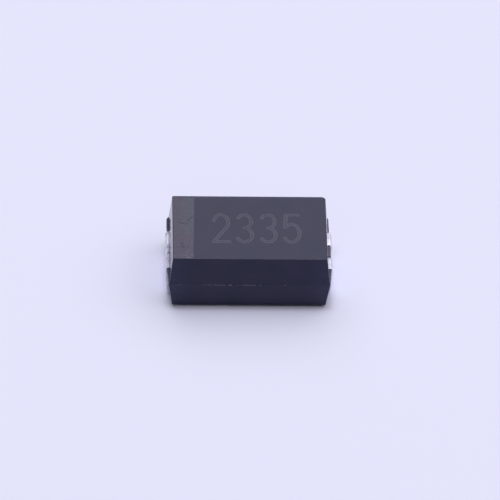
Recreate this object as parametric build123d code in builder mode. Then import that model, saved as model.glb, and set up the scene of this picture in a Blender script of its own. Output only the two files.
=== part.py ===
from build123d import *
from math import cos, radians, tan
import os

# Moulded tantalum chip capacitor for surface mounting, case size 7343.
# Lengths are in millimetres. The origin is the middle of the seating plane, under the feet.
# +X runs towards the cathode, -X towards the anode with its polarity band, and +Z is up.

# Outside sizes, taken over the terminals and the moulding
overall_length = 7.30
overall_width = 4.30
overall_height = 2.80
standoff = 0.10
parting_height = 1.44

# Moulded case: two drafted halves that meet at the parting plane, and the flash left at its ends
upper_end_draft = 6.0
upper_side_draft = 5.25
lower_end_draft = 6.7
lower_side_draft = 6.0
half_step = 0.015
flash_setback = 0.05
flash_corner_radius = 0.10
corner_radius = 0.07
blunt_corner_radius = 0.18
edge_radius = 0.035
gate_width = 0.62
gate_stub = 0.02

# Polarity band, burnt into the top face at the anode end
band_width = 0.91
band_depth = 0.012
band_margin = 0.01

# Terminals, stamped and bent from one thickness of strip
terminal_width = 2.40
terminal_thickness = 0.12
bend_inner_radius = 0.03
lead_proud = 0.07
lead_lean = 4.0
foot_length = 1.30
foot_gap = 0.02
lead_gap = 0.01
pocket_side_gap = 0.03
fork_gap = 0.80
fork_depth = 0.95
fork_root = 0.35

# Anode weld tab and riser wire
weld_tab_width = 1.20
weld_tab_root = 0.35
wire_end_cover = 0.55
weld_length = 0.65
wire_bridge = 0.45
wire_diameter = 0.30
weld_flat = 0.04
wire_embedded = 2.50

# Sintered pellet, its coats, and the walls of plastic left round it
top_wall = 0.42
bottom_wall = 0.46
side_wall = 0.50
cathode_wall = 0.64
pellet_edge_radius = 0.10
manganese_dioxide_thickness = 0.05
graphite_thickness = 0.02
silver_thickness = 0.03
cup_setback = 0.12
washer_diameter = 0.80
washer_thickness = 0.12

# Cathode cradle under the pellet, and the silver-filled adhesive that holds it
cradle_length = 2.30
adhesive_thickness = 0.04
adhesive_margin = 0.15

# Places that follow from the sizes above
case_length = overall_length - 2 * lead_proud
upper_rise = overall_height - parting_height
lower_drop = parting_height - standoff
lower_length = overall_length - 2 * (terminal_thickness + lead_gap)
upper_length = lower_length - 2 * half_step
upper_width = overall_width - 2 * half_step
top_length = upper_length - 2 * upper_rise * tan(radians(upper_end_draft))
top_width = upper_width - 2 * upper_rise * tan(radians(upper_side_draft))
bend_mean_radius = bend_inner_radius + terminal_thickness / 2

lead_level = parting_height - terminal_thickness / 2
foot_level = terminal_thickness / 2
lean = radians(lead_lean)
lead_end = (overall_length - terminal_thickness) / 2 + bend_mean_radius * (tan(lean) + 1 / cos(lean) - 1)
foot_end = lead_end - (lead_level - foot_level) * tan(lean)
foot_tip = overall_length / 2 - foot_length

wire_level = parting_height + wire_diameter / 2 - weld_flat
wire_outer_end = -case_length / 2 + wire_end_cover
weld_tab_tip = wire_outer_end + weld_length
wire_face = weld_tab_tip + wire_bridge

coat_thickness = manganese_dioxide_thickness + graphite_thickness + silver_thickness
riser_outer_face = case_length / 2 - cathode_wall
riser_level = riser_outer_face - terminal_thickness / 2
cradle_level = standoff + bottom_wall + terminal_thickness / 2
coated_end = riser_outer_face - terminal_thickness - adhesive_thickness
coated_bottom = cradle_level + terminal_thickness / 2 + adhesive_thickness
coated_top = overall_height - top_wall
cradle_tip = coated_end - cradle_length
pellet_length = coated_end - coat_thickness - wire_face
pellet_width = overall_width - 2 * side_wall - 2 * coat_thickness
pellet_height = coated_top - coated_bottom - 2 * coat_thickness
pellet_centre = (wire_face + pellet_length / 2, 0, (coated_top + coated_bottom) / 2)


def pellet_block(growth):
    """The pellet's rounded block, grown on every side by the coats laid on it."""
    with BuildPart(mode=Mode.PRIVATE) as block:
        with Locations(pellet_centre):
            Box(pellet_length + 2 * growth, pellet_width + 2 * growth, pellet_height + 2 * growth)
        fillet(block.edges(), pellet_edge_radius + growth)
    return block.part


def coat(inner_growth, outer_growth, open_at_wire_end):
    """One even coat between two growths of the block; cup coats stop short of the wire face."""
    with BuildPart(mode=Mode.PRIVATE) as layer:
        add(pellet_block(outer_growth))
        add(pellet_block(inner_growth), mode=Mode.SUBTRACT)
        if open_at_wire_end:
            rim = Plane((wire_face + cup_setback, 0, 0), z_dir=(1, 0, 0))
            split(bisect_by=rim, keep=Keep.TOP)
    return layer.part


def drafted_half(length, width, rise, end_draft, side_draft, turn):
    """A half of the moulding: one trapezoid across its sides, met by another across its ends."""
    with BuildPart(mode=Mode.PRIVATE) as half:
        with BuildSketch(Plane.XZ):
            with Locations((0, parting_height)):
                Trapezoid(length, rise, 90 - end_draft, rotation=turn, align=(Align.CENTER, Align.MIN))
        extrude(amount=width / 2, both=True)
        with BuildSketch(Plane.YZ):
            with Locations((0, parting_height)):
                Trapezoid(width, rise, 90 - side_draft, rotation=turn, align=(Align.CENTER, Align.MIN))
        extrude(amount=length / 2, both=True, mode=Mode.INTERSECT)
    return half.part


def slanted_edges(half):
    """The four edges of a drafted half that run from the parting plane to its far face."""
    return half.edges().filter_by(lambda edge: abs(edge.tangent_at(0.5).Z) > 0.5)


def bent_strip(points, width):
    """A strip of the terminal's thickness, bent round the given points of its middle line."""
    with BuildPart(mode=Mode.PRIVATE) as strip:
        with BuildSketch(Plane.XZ):
            with BuildLine():
                FilletPolyline(*points, radius=bend_mean_radius)
            trace(line_width=terminal_thickness)
        extrude(amount=width / 2, both=True)
    return strip.part


# Tantalum riser wire, with the flat that the weld leaves on its outer end
with BuildPart() as tantalum_wire:
    with BuildSketch(Plane((wire_outer_end, 0, wire_level), z_dir=(1, 0, 0))):
        Circle(wire_diameter / 2)
    extrude(amount=wire_face + wire_embedded - wire_outer_end)
    with Locations((wire_outer_end, 0, parting_height)):
        Box(
            weld_length,
            wire_diameter,
            weld_flat,
            align=(Align.MIN, Align.CENTER, Align.MAX),
            mode=Mode.SUBTRACT,
        )

# Sintered tantalum pellet, pressed round the wire
with BuildPart() as sintered_pellet:
    add(pellet_block(0))
    add(tantalum_wire.part, mode=Mode.SUBTRACT)

# Washer that keeps the coats off the wire
with BuildPart() as insulating_washer:
    with BuildSketch(Plane((wire_face, 0, wire_level), z_dir=(-1, 0, 0))):
        Circle(washer_diameter / 2)
        Circle(wire_diameter / 2, mode=Mode.SUBTRACT)
    extrude(amount=washer_thickness)

# Coats on the pellet, from the inside out
with BuildPart() as manganese_dioxide_coat:
    add(coat(0, manganese_dioxide_thickness, open_at_wire_end=False))
    add(insulating_washer.part, mode=Mode.SUBTRACT)
    add(tantalum_wire.part, mode=Mode.SUBTRACT)

with BuildPart() as graphite_coat:
    graphite_growth = manganese_dioxide_thickness + graphite_thickness
    add(coat(manganese_dioxide_thickness, graphite_growth, open_at_wire_end=True))

with BuildPart() as silver_coat:
    add(coat(graphite_growth, coat_thickness, open_at_wire_end=True))

# Anode terminal: full width outside, a narrow weld tab under the wire inside
with BuildPart() as anode_terminal:
    anode_path = [
        (weld_tab_tip, lead_level),
        (-lead_end, lead_level),
        (-foot_end, foot_level),
        (-foot_tip, foot_level),
    ]
    add(bent_strip(anode_path, terminal_width))
    tab_root = -case_length / 2 + weld_tab_root
    shoulder = (terminal_width - weld_tab_width) / 2
    for side in (-1, 1):
        with Locations((tab_root, side * (weld_tab_width + shoulder) / 2, parting_height)):
            Box(
                weld_tab_tip - tab_root,
                shoulder,
                terminal_thickness,
                align=(Align.MIN, Align.CENTER, Align.MAX),
                mode=Mode.SUBTRACT,
            )

# Cathode terminal: a cradle under the pellet, a riser, a forked exit and a foot
with BuildPart() as cathode_terminal:
    cathode_path = [
        (cradle_tip, cradle_level),
        (riser_level, cradle_level),
        (riser_level, lead_level),
        (lead_end, lead_level),
        (foot_end, foot_level),
        (foot_tip, foot_level),
    ]
    add(bent_strip(cathode_path, terminal_width))
    fork_start = case_length / 2 - fork_root
    with Locations((fork_start, 0, parting_height)):
        Box(
            overall_length / 2 - fork_start,
            fork_gap,
            fork_depth,
            align=(Align.MIN, Align.CENTER, Align.MAX),
            mode=Mode.SUBTRACT,
        )

# Silver-filled adhesive: one bend of it between the silver coat and the cradle
with BuildPart() as silver_adhesive:
    adhesive_rise = lead_level - bend_mean_radius - cradle_level
    with BuildSketch(Plane.XZ):
        with Locations((cradle_tip, cradle_level)):
            Rectangle(riser_level - cradle_tip, adhesive_rise, align=Align.MIN)
    extrude(amount=terminal_width / 2 - adhesive_margin, both=True)
    add(cathode_terminal.part, mode=Mode.SUBTRACT)
    add(pellet_block(coat_thickness), mode=Mode.SUBTRACT)

# Moulded case, filled round everything that it holds
with BuildPart() as moulded_case:
    add(drafted_half(lower_length, overall_width, lower_drop, lower_end_draft, lower_side_draft, turn=180))
    fillet(slanted_edges(moulded_case), corner_radius)
    fillet(moulded_case.faces().sort_by(Axis.Z)[0].edges(), edge_radius)

    # Flash beside the leads, as thick as the strip, trimmed off just short of where they fold down
    with BuildSketch(Plane.XY.offset(parting_height)):
        RectangleRounded(case_length, overall_width - 2 * flash_setback, flash_corner_radius)
    extrude(amount=-terminal_thickness)

    # Each foot lies in a shallow pocket in the underside
    for end in (-1, 1):
        with Locations((end * overall_length / 2, 0, 0)):
            Box(
                2 * (foot_length + foot_gap),
                terminal_width + 2 * pocket_side_gap,
                2 * (terminal_thickness + foot_gap),
                mode=Mode.SUBTRACT,
            )

    # Broken stub of the gate, between the tines of the fork
    with Locations((case_length / 2, 0, lead_level)):
        Box(2 * gate_stub, gate_width, terminal_thickness)

    # The upper half has one blunt corner, at the rear of the cathode end
    with BuildPart(mode=Mode.PRIVATE) as upper_half:
        add(drafted_half(upper_length, upper_width, upper_rise, upper_end_draft, upper_side_draft, turn=0))
        corners = slanted_edges(upper_half).sort_by_distance((overall_length, overall_width, overall_height))
        fillet(corners[1:], corner_radius)
        blunt = slanted_edges(upper_half).sort_by_distance((overall_length, overall_width, overall_height))
        fillet(blunt[0], blunt_corner_radius)
        fillet(upper_half.faces().sort_by(Axis.Z)[-1].edges(), edge_radius)
    add(upper_half.part)

    band_inset = edge_radius + band_margin
    with Locations((-top_length / 2 + band_inset, 0, overall_height)):
        Box(
            band_width - band_inset,
            top_width - 2 * band_inset,
            2 * band_depth,
            align=(Align.MIN, Align.CENTER, Align.CENTER),
            mode=Mode.SUBTRACT,
        )

    for held in (
        anode_terminal,
        cathode_terminal,
        tantalum_wire,
        insulating_washer,
        sintered_pellet,
        manganese_dioxide_coat,
        graphite_coat,
        silver_coat,
        silver_adhesive,
    ):
        add(held.part, mode=Mode.SUBTRACT)

os.makedirs("parts", exist_ok=True)
pieces = {
    "moulded_case": moulded_case,
    "anode_terminal": anode_terminal,
    "cathode_terminal": cathode_terminal,
    "tantalum_wire": tantalum_wire,
    "insulating_washer": insulating_washer,
    "sintered_pellet": sintered_pellet,
    "manganese_dioxide_coat": manganese_dioxide_coat,
    "graphite_coat": graphite_coat,
    "silver_coat": silver_coat,
    "silver_adhesive": silver_adhesive,
}
for name, piece in pieces.items():
    piece.part.label = name
    export_step(piece.part, f"parts/{name}.step")
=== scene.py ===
"""Finish of a moulded tantalum chip capacitor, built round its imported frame.

Shapes are worked out in millimetres and scaled to metres when a piece is finished.
"""

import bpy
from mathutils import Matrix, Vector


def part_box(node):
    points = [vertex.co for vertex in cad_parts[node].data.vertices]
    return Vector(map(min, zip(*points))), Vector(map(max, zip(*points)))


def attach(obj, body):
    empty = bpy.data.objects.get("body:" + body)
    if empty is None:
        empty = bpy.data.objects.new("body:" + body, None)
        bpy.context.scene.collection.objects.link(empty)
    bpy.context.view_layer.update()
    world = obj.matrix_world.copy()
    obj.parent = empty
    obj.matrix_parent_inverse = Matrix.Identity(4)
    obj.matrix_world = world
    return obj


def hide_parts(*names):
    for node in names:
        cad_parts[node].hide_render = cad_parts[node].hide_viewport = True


bl_info = {
    "name": "Moulded Tantalum Capacitor",
    "version": (1, 0, 0),
    "blender": (4, 5, 0),
    "location": "View3D > Sidebar > Capacitor",
    "description": "Moulds, marks, bends and lights a surface-mount tantalum capacitor",
    "category": "Object",
}

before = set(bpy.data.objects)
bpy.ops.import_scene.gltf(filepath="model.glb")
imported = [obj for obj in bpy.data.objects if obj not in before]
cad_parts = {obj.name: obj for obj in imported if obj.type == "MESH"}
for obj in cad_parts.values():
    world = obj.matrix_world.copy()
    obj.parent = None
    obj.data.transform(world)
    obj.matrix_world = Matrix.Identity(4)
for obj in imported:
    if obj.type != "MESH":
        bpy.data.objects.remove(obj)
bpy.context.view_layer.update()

import math

import bmesh
import bpy
import numpy as np
from bpy.props import FloatProperty, FloatVectorProperty, PointerProperty, StringProperty
from mathutils import Matrix, Vector
from mathutils.noise import noise as noise_value

MM = 0.001


def frame_mm(node):
    """The lowest and highest corner of a CAD node, in millimetres."""
    low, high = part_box(node)
    return Vector(low) / MM, Vector(high) / MM


CASE_LOW, CASE_HIGH = frame_mm("moulded_case")
ANODE_LOW, ANODE_HIGH = frame_mm("anode_terminal")
CATHODE_LOW, CATHODE_HIGH = frame_mm("cathode_terminal")
WIRE_LOW = frame_mm("tantalum_wire")[0]
ADHESIVE_LOW, ADHESIVE_HIGH = frame_mm("silver_adhesive")


def length(name, description, millimetres):
    """A property that holds a length, given in millimetres and kept in metres."""
    return FloatProperty(
        name=name,
        description=description,
        default=millimetres * MM,
        min=0.0,
        unit="LENGTH",
        subtype="DISTANCE",
        precision=6,
    )


def metres(name, description, value):
    """A property that holds a point, or a width and a depth, in metres."""
    return FloatVectorProperty(
        name=name, description=description, default=value, size=len(value), unit="LENGTH", precision=6
    )


def watts(name, description, value):
    """A property that holds a lamp's power."""
    return FloatProperty(name=name, description=description, default=value, min=0.0, unit="POWER")


def colour(name, description, value):
    """A property that holds a linear colour."""
    return FloatVectorProperty(
        name=name, description=description, default=value, size=3, min=0.0, max=1.0, subtype="COLOR"
    )


def angle(name, description, degrees):
    """A property that holds an angle, given in degrees."""
    return FloatProperty(name=name, description=description, default=math.radians(degrees), subtype="ANGLE")


class CaseSizes(bpy.types.PropertyGroup):
    upper_end_draft: angle("Upper end draft", "Slope of the upper half's two ends", 6.0)
    upper_side_draft: angle("Upper side draft", "Slope of the upper half's two sides", 5.25)
    lower_end_draft: angle("Lower end draft", "Slope of the lower half's two ends", 6.7)
    lower_side_draft: angle("Lower side draft", "Slope of the lower half's two sides", 6.0)
    shift: length("Shift", "How far the top face sits to the rear of the parting line's middle", 0.038)
    half_step: length("Half step", "How far the lower half outreaches the upper one all round", 0.015)
    seam_step: length("Seam step", "What is left of that step at the parting line itself", 0.004)
    step_fade: length("Step fade", "Height over which the upper half's sides draw in to their own size", 0.10)
    corner_radius: length("Corner radius", "Radius of the slanted edges", 0.06)
    lower_corner_radius: length("Lower corner radius", "Radius of the lower half's slanted edges", 0.03)
    blunt_radius: length("Blunt corner", "Radius of the one blunt corner, rear of the cathode end", 0.18)
    edge_radius: length("Edge radius", "Rounding of the top face's edges", 0.035)
    under_edge_radius: length("Underside edge radius", "Rounding of the underside's edges", 0.015)
    break_depth: length("Break depth", "How rough the broken edge of the flash is", 0.009)
    gate_depth: length("Gate depth", "How rough the broken gate between the tines is", 0.02)
    gate_width: length("Gate width", "Width of the broken gate", 0.62)
    lead_gap: length("Lead gap", "Air between a folded lead and the wall behind it", 0.01)
    foot_gap: length("Foot gap", "Air above a foot", 0.02)
    pocket_side_gap: length("Pocket side gap", "Air on each side of a lead in its pocket", 0.03)


class MarkingSizes(bpy.types.PropertyGroup):
    band_width: length("Band width", "Width of the polarity band at the anode end", 0.925)
    band_skew: angle("Band skew", "How far the band's inner edge is turned on the top face", 1.0)
    band_margin: length("Band margin", "Plain rim left round the band", 0.002)
    band_depth: length("Band depth", "How deep the band is burnt", 0.012)
    hatch_pitch: length("Hatch pitch", "Distance between the burnt lines that fill the band", 0.05)
    hatch_depth: length("Hatch depth", "Depth of those lines", 0.003)
    number: StringProperty(name="Number", description="Digits marked on top, of 2, 3 and 5", default="2335")
    digit_height: length("Digit height", "Height of the digits", 1.72)
    digit_width: length("Digit width", "Width of one digit", 0.72)
    digit_pitch: length("Digit pitch", "Distance from one digit to the next", 1.03)
    number_centre: length("Number centre", "Distance of the number from the middle, towards the cathode", 0.3)
    scar_width: length("Scar width", "Half the width of a scar in the band", 0.035)
    stroke_width: length("Stroke width", "Width of a digit's stroke between its two outlines", 0.125)
    line_width: length("Line width", "Width of the burnt outline", 0.045)
    line_depth: length("Line depth", "Depth of the burnt outline", 0.008)


class TerminalSizes(bpy.types.PropertyGroup):
    thickness: length("Strip thickness", "Thickness of the terminal strip", 0.12)
    bend_radius: length("Bend radius", "Inner radius of every bend", 0.03)
    foot_length: length("Foot length", "Length of each foot under the case", 1.30)
    fork_gap: length("Fork gap", "Gap between the cathode's two tines", 0.80)
    fork_depth: length("Fork depth", "Depth of the gap below the parting plane", 0.95)
    fork_root: length("Fork root", "Start of the gap inside the case", 0.35)
    lead_proud: length("Lead proud", "How far each lead stands out of the case's end", 0.07)
    lead_lean: angle("Lead lean", "How far each folded lead leans in towards its foot", 4.0)
    weld_tab_width: length("Weld tab width", "Width of the tab under the wire", 1.20)
    weld_tab_root: length("Weld tab root", "Where the anode strip narrows, inside the case", 0.35)
    weld_length: length("Weld length", "Length of wire that lies on the weld tab", 0.65)
    stamped_edge: length("Stamped edge", "Rounding that the stamping leaves on the strip", 0.009)


class FinishColours(bpy.types.PropertyGroup):
    epoxy: colour("Epoxy", "Filled epoxy of the case", (0.0215, 0.0225, 0.056))
    burnt: colour("Burnt line", "Epoxy where the marking's lines are burnt", (0.140, 0.128, 0.168))
    band_warm: colour("Band, warm", "Burnt band where it is warm", (0.109, 0.096, 0.138))
    band_cool: colour("Band, cool", "Burnt band where it is cool", (0.101, 0.110, 0.141))
    # Broken epoxy at the gate; along the front of the seam the same colour is a painted highlight on scraps
    # of flash
    fracture: colour("Fracture", "Broken epoxy at the gate and along the flash", (0.150, 0.138, 0.178))
    tin: colour("Tin", "Dull tin plating", (0.69, 0.69, 0.73))
    tin_shade: colour("Tin, dull", "Tin plating where it has dulled", (0.50, 0.50, 0.55))
    # Film of resin on the anode lead next to the case, which is also painted shade of the crevice at the
    # wall's foot
    bleed_and_crevice_shade: colour("Resin bleed", "Film of resin on the anode lead, next to the case", (0.34, 0.33, 0.39))


class StageSettings(bpy.types.PropertyGroup):
    floor: colour("Floor", "Colour of the floor", (0.780, 0.783, 0.975))
    floor_width: length("Floor width", "Width and depth of the floor", 1200.0)
    sky: FloatProperty(name="Sky", description="Strength of the even light from all round", default=0.143)
    tube_power: watts("Tube power", "Power of the tube overhead", 2.03)
    tube_place: metres("Tube place", "Middle of the tube overhead", (-0.032, 0.029, 0.8))
    tube_size: metres("Tube size", "Width and depth of the tube", (0.208, 0.306))
    window_power: watts("Window power", "Power of the window behind", 7.77)
    window_place: metres("Window place", "Middle of the window behind", (0.178, 0.279, 0.729))
    window_size: metres("Window size", "Width and depth of the window", (1.846, 1.008))
    azimuth: angle("Azimuth", "Camera's turn round the object", -2.377)
    elevation: angle("Elevation", "Camera's height above the horizon", 43.236)
    roll: angle("Roll", "Camera's turn about its own axis", 2.040)
    distance: length("Distance", "Camera's distance from its target", 300.0)
    target: metres("Target", "Point that the camera looks at", (0.055 * MM, 0.097 * MM, 1.4 * MM))
    pixels_per_mm: FloatProperty(name="Pixels per mm", description="Scale at the target", default=22.828)


def mm(value):
    """A kept length, in millimetres."""
    return value / MM


# Faces that meet at less than the first are shaded as one; stamping rounds edges sharper than the second
SMOOTH_ANGLE = math.radians(32)
STAMPED_ANGLE = math.radians(50)


def finish_piece(obj, node):
    """Scales a finished millimetre mesh to metres, shades it, and puts it in its node's place."""
    mesh = obj.data
    mesh.transform(Matrix.Scale(MM, 4))
    mesh.polygons.foreach_set("use_smooth", [True] * len(mesh.polygons))
    mesh.set_sharp_from_angle(angle=SMOOTH_ANGLE)
    mesh.update()
    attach(obj, "root")
    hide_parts(node)


def linked(name, data):
    """A new object in the scene that shows this data."""
    obj = bpy.data.objects.new(name, data)
    bpy.context.scene.collection.objects.link(obj)
    return obj


def object_from(name, vertices, faces, material=None):
    """A new object from plain lists of points and faces."""
    mesh = bpy.data.meshes.new(name)
    mesh.from_pydata([tuple(map(float, v)) for v in vertices], [], faces)
    mesh.validate()
    if material:
        mesh.materials.append(material)
    return linked(name, mesh)


def object_from_form(name, form):
    """A new object from a mesh under edit, which is freed."""
    mesh = bpy.data.meshes.new(name)
    form.to_mesh(mesh)
    form.free()
    return linked(name, mesh)


def baked(obj):
    """Replaces an object's mesh by what its modifiers make of it, and removes the modifiers."""
    graph = bpy.context.evaluated_depsgraph_get()
    made = obj.evaluated_get(graph)
    mesh = bpy.data.meshes.new_from_object(made, preserve_all_data_layers=True, depsgraph=graph)
    obj.modifiers.clear()
    old = obj.data
    obj.data = mesh
    bpy.data.meshes.remove(old)
    mesh.name = obj.name
    return obj


def remove(obj):
    """Deletes a helper object and its data."""
    data = obj.data
    bpy.data.objects.remove(obj)
    if isinstance(data, bpy.types.Mesh):
        bpy.data.meshes.remove(data)
    else:
        bpy.data.curves.remove(data)


class Field:
    """A value in a node tree. Arithmetic with it adds the math nodes that work it out."""

    def __init__(self, nodes, socket):
        self.nodes = nodes
        self.socket = socket

    def __add__(self, other):
        return self.nodes.math("ADD", self, other)

    def __sub__(self, other):
        return self.nodes.math("SUBTRACT", self, other)

    def __rsub__(self, other):
        return self.nodes.math("SUBTRACT", other, self)

    def __mul__(self, other):
        return self.nodes.math("MULTIPLY", self, other)

    def __truediv__(self, other):
        return self.nodes.math("DIVIDE", self, other)

    def __abs__(self):
        return self.nodes.math("ABSOLUTE", self)


class Nodes:
    """Short calls for adding and joining the nodes of one tree."""

    def __init__(self, tree):
        self.tree = tree

    def add(self, kind, settings=None, **values):
        """A node of that kind, with plain values or other nodes' outputs on its inputs."""
        node = self.tree.nodes.new(kind)
        for key, value in (settings or {}).items():
            setattr(node, key, value)
        for key, value in values.items():
            slot = int(key[1:]) if key[0] == "i" and key[1:].isdigit() else key.replace("_", " ")
            self.feed(node.inputs[slot], value)
        return node

    def feed(self, socket, value):
        """Links or sets one input."""
        if isinstance(value, Field):
            value = value.socket
        if isinstance(value, bpy.types.Node):
            value = value.outputs[0]
        if isinstance(value, bpy.types.NodeSocket):
            self.tree.links.new(value, socket)
        else:
            socket.default_value = value

    def field(self, node, output=0):
        """One output of a node, ready for arithmetic."""
        return Field(self, node.outputs[output])

    def split(self, vector):
        """The three components of a vector."""
        parts = self.add("ShaderNodeSeparateXYZ", i0=vector)
        return [self.field(parts, axis) for axis in range(3)]

    def math(self, operation, a, b=0.0, clamp=False):
        """One step of arithmetic."""
        settings = {"operation": operation, "use_clamp": clamp}
        return self.field(self.add("ShaderNodeMath", settings, i0=a, i1=b))

    def ramp(self, value, low, high, to_low=0.0, to_high=1.0):
        """A value moved from one range to another, smoothly and within its ends."""
        settings = {"interpolation_type": "SMOOTHSTEP", "clamp": True}
        node = self.add("ShaderNodeMapRange", settings, i0=value, i1=low, i2=high, i3=to_low, i4=to_high)
        return self.field(node)

    def noise(self, place, size, detail=3.0, roughness=0.6, stretch=None):
        """Noise whose features are about that many millimetres across, at a place in millimetres."""
        if stretch:
            place = self.add("ShaderNodeVectorMath", {"operation": "MULTIPLY"}, i0=place, i1=stretch)
        return self.field(
            self.add("ShaderNodeTexNoise", Vector=place, Scale=1.0 / size, Detail=detail, Roughness=roughness)
        )

    def mix(self, factor, a, b):
        """One colour between two."""
        node = self.add("ShaderNodeMix", {"data_type": "RGBA"}, Factor=factor)
        for socket, value in zip([s for s in node.inputs if s.type == "RGBA"], (a, b)):
            self.feed(socket, value if isinstance(value, bpy.types.NodeSocket) else (*value, 1.0))
        return [s for s in node.outputs if s.type == "RGBA"][0]

    def bump(self, height, depth, strength, below=None):
        """Relief of that real depth in millimetres, on the surface's own normal or on relief below it."""
        node = self.add("ShaderNodeBump", Strength=strength, Distance=depth * MM, Height=height)
        if below is not None:
            self.feed(node.inputs["Normal"], below)
        return node

    def millimetres(self):
        """Object coordinates in millimetres, so that texture sizes read as real ones."""
        place = self.add("ShaderNodeTexCoord").outputs["Object"]
        return self.add("ShaderNodeVectorMath", {"operation": "SCALE"}, i0=place, Scale=1 / MM)


def new_material(name):
    """A material with an empty tree, its output and its surface shader."""
    material = bpy.data.materials.new(name)
    material.use_nodes = True
    material.node_tree.nodes.clear()
    nodes = Nodes(material.node_tree)
    shader = nodes.add("ShaderNodeBsdfPrincipled")
    nodes.add("ShaderNodeOutputMaterial", Surface=shader)
    return material, nodes, shader


def dress(nodes, shader, base, roughness, relief, metallic=0.0):
    """Gives a surface its colour, roughness and relief, and says whether it is a metal."""
    nodes.feed(shader.inputs["Base Color"], base)
    nodes.feed(shader.inputs["Roughness"], roughness)
    nodes.feed(shader.inputs["Normal"], relief)
    shader.inputs["Metallic"].default_value = metallic


# How the epoxy's clouds differ from its own colour, by channel
COOL_TINT = (0.84, 0.93, 0.92)
WARM_TINT = (1.16, 1.04, 1.08)


def skin_colour(nodes, place, finish, rim_x, rim_y):
    """The epoxy's colour: clouded, with a painted highlight along the top's rear rim, paler towards the
    sides' ends, and specked with filler.
    """
    cool, warm = (tuple(c * k for c, k in zip(finish.epoxy, tint)) for tint in (COOL_TINT, WARM_TINT))
    clouded = nodes.mix(nodes.ramp(nodes.noise(place, 1.1, 4.0), 0.3, 0.7), cool, warm)

    # A highlight is painted along the top's rear rim, and the sides are paler towards their ends
    x, y, z = nodes.split(place)
    on_top = nodes.ramp(z, CASE_HIGH.z - 0.05, CASE_HIGH.z - 0.01)
    at_rim = nodes.ramp(y, rim_y - 0.20, rim_y) * on_top * 0.75
    on_side = nodes.ramp(abs(x), rim_x - 0.9, rim_x + 0.1, 0.0, 0.35) * (1.0 - on_top)
    uneven = nodes.ramp(nodes.noise(place, 0.25), 0.3, 0.6, 0.35, 1.0)
    rim_highlight_and_paler_ends = nodes.mix(nodes.math("MAXIMUM", at_rim, on_side) * uneven, clouded, finish.epoxy * 2.1)
    specks = nodes.ramp(nodes.noise(place, 0.035, 2.0, 0.7), 0.56, 0.75, 0.0, 0.5)
    return nodes.mix(specks, rim_highlight_and_paler_ends, finish.epoxy * 1.8)


def band_colour(nodes, place, finish, grain, rim_y):
    """The burnt band's colour: cooler towards the rear, grainy, and flecked paler along the front."""
    x, y, _ = nodes.split(place)
    rearward = nodes.ramp(y, -1.2, 0.2) * nodes.ramp(x, -3.05, -2.75)
    cloud = nodes.ramp(nodes.noise(place, 0.5) + rearward * 0.35, 0.5, 0.85)
    clouded = nodes.mix(cloud, finish.band_warm, finish.band_cool)
    grainy = nodes.mix(nodes.ramp(grain, 0.3, 0.5), finish.band_warm * 0.6, clouded)
    at_front = nodes.ramp(y, 0.65 - rim_y, 0.10 - rim_y, 0.10, 1.0)
    flecks = nodes.ramp(nodes.noise(place, 0.16), 0.56, 0.66) * at_front
    return nodes.mix(flecks, grainy, finish.band_cool * 1.6)


def epoxy_material(finish, rim_x, rim_y):
    """Filled epoxy with a spark-textured skin, paler where the laser has burnt it or where it is broken, and
    with painted highlights on scraps of flash along the front seam and on the top's rear rim.
    """
    material, nodes, shader = new_material("filled_epoxy")
    place = nodes.millimetres()
    burnt, band, fracture = (
        nodes.field(nodes.add("ShaderNodeAttribute", {"attribute_name": name}), "Fac")
        for name in ("burnt", "band", "fracture")
    )
    grain = nodes.noise(place, 0.06, 3.0, 0.7)
    plain = skin_colour(nodes, place, finish, rim_x, rim_y)
    banded = nodes.mix(band, plain, band_colour(nodes, place, finish, grain, rim_y))
    lined = nodes.mix(burnt * nodes.ramp(grain, 0.25, 0.6, 0.35, 1.0), banded, finish.burnt)
    # The fracture colour covers the broken gate and chips, and is a painted highlight on scraps of flash
    # along the front of the seam
    base = nodes.mix(fracture, lined, finish.fracture)

    # The mould's end walls are smoother than its spark-eroded top, and the marks are rougher than both
    skin = nodes.noise(place, 0.05, 3.0, 0.55)
    facing_end = abs(nodes.split(nodes.add("ShaderNodeTexCoord").outputs["Normal"])[0])
    at_end = nodes.ramp(facing_end, 0.80, 0.95)
    smoothest = nodes.ramp(at_end, 0.0, 1.0, 0.13, 0.03)
    roughest = nodes.ramp(at_end, 0.0, 1.0, 0.20, 0.06)
    skin_roughness = nodes.ramp(skin, 0.3, 0.7, smoothest, roughest)
    marked = nodes.math("MAXIMUM", nodes.math("MAXIMUM", burnt, band), fracture)
    roughness = nodes.add("ShaderNodeMix", {"data_type": "FLOAT"}, i0=marked, i2=skin_roughness, i3=0.8)

    orange_peel = nodes.noise(place, 0.32, 2.0, 0.5)
    relief = nodes.bump(orange_peel, 0.003, 0.5, nodes.bump(skin, 0.0016, 0.8))
    dress(nodes, shader, base, roughness, relief)
    shader.inputs["IOR"].default_value = 1.30
    return material


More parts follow.
